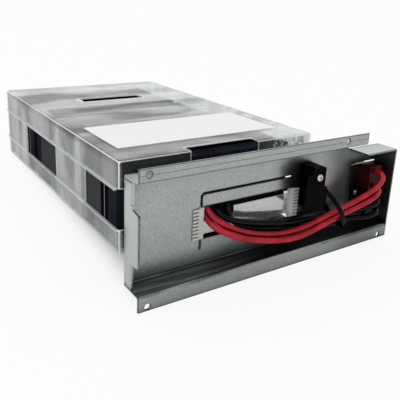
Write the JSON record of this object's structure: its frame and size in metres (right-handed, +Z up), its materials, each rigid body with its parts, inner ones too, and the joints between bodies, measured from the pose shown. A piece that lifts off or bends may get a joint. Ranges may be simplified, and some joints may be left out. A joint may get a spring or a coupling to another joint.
{
  "type": "ups battery cartridge",
  "caption": "Slide-in battery cartridge for an uninterruptible power supply: sealed blocks in clear half shells behind a folded steel front frame with red and black leads.",
  "frame": {"origin": "midway between the two lower screw holes, on the front face of the lower flange", "axes": "+X to the right along the front frame, +Y from the front into the rack, +Z up"},
  "size_m": [0.3051, 0.3574, 0.12],
  "materials": {
    "galvanised_sheet": "spangled galvanised steel",
    "white_edging": "moulded white nylon",
    "black_moulding": "fine-textured black moulding",
    "plated_screw": "bright zinc plate",
    "black_nylon": "smooth black nylon",
    "red_insulation": "semi-gloss red PVC",
    "black_insulation": "semi-gloss black PVC",
    "red_housing": "moulded red polycarbonate",
    "black_housing": "moulded black polycarbonate",
    "contact_copper": "silver-plated copper, dulled",
    "clear_shell": "thermoformed clear sheet, slightly hazy",
    "white_label": "blank white film label",
    "foam": "grey foam tape",
    "red_sleeve": "red insulating sleeve",
    "black_sleeve": "black insulating sleeve",
    "battery_case": "moulded black ABS",
    "battery_lid": "moulded black ABS",
    "tinned_tab": "tinned brass tab",
    "link_insulation": "semi-gloss black PVC"
  },
  "bodies": {
    "root": {"battery_1_case": "battery_case", "battery_1_lid": "battery_lid", "battery_1_terminals": "tinned_tab", "battery_2_case": "battery_case", "battery_2_lid": "battery_lid", "battery_2_terminals": "tinned_tab", "battery_3_case": "battery_case", "battery_3_lid": "battery_lid", "battery_3_terminals": "tinned_tab", "battery_4_case": "battery_case", "battery_4_lid": "battery_lid", "battery_4_terminals": "tinned_tab", "battery_5_case": "battery_case", "battery_5_lid": "battery_lid", "battery_5_terminals": "tinned_tab", "battery_6_case": "battery_case", "battery_6_lid": "battery_lid", "battery_6_terminals": "tinned_tab", "black_connector": "black_housing", "black_lead_1": "black_insulation", "black_lead_2": "black_insulation", "black_receptacle": "black_sleeve", "bridge_left": "black_sleeve", "bridge_right": "black_sleeve", "cable_holder": "black_moulding", "cable_tie": "black_nylon", "connector_contacts": "contact_copper", "connector_screw": "plated_screw", "foam_tape": "foam", "front_frame": "galvanised_sheet", "grommet_left": "white_edging", "grommet_right": "white_edging", "holder_screw": "plated_screw", "link_lead_back": "link_insulation", "link_lead_front": "link_insulation", "link_lead_right": "link_insulation", "link_receptacle_1": "black_sleeve", "link_receptacle_2": "red_sleeve", "link_receptacle_3": "red_sleeve", "link_receptacle_4": "black_sleeve", "link_receptacle_5": "black_sleeve", "link_receptacle_6": "red_sleeve", "lower_shell": "clear_shell", "red_connector": "red_housing", "red_lead_1": "red_insulation", "red_lead_2": "red_insulation", "red_receptacle": "red_sleeve", "top_label": "white_label", "upper_shell": "clear_shell"}
  },
  "joints": []
}
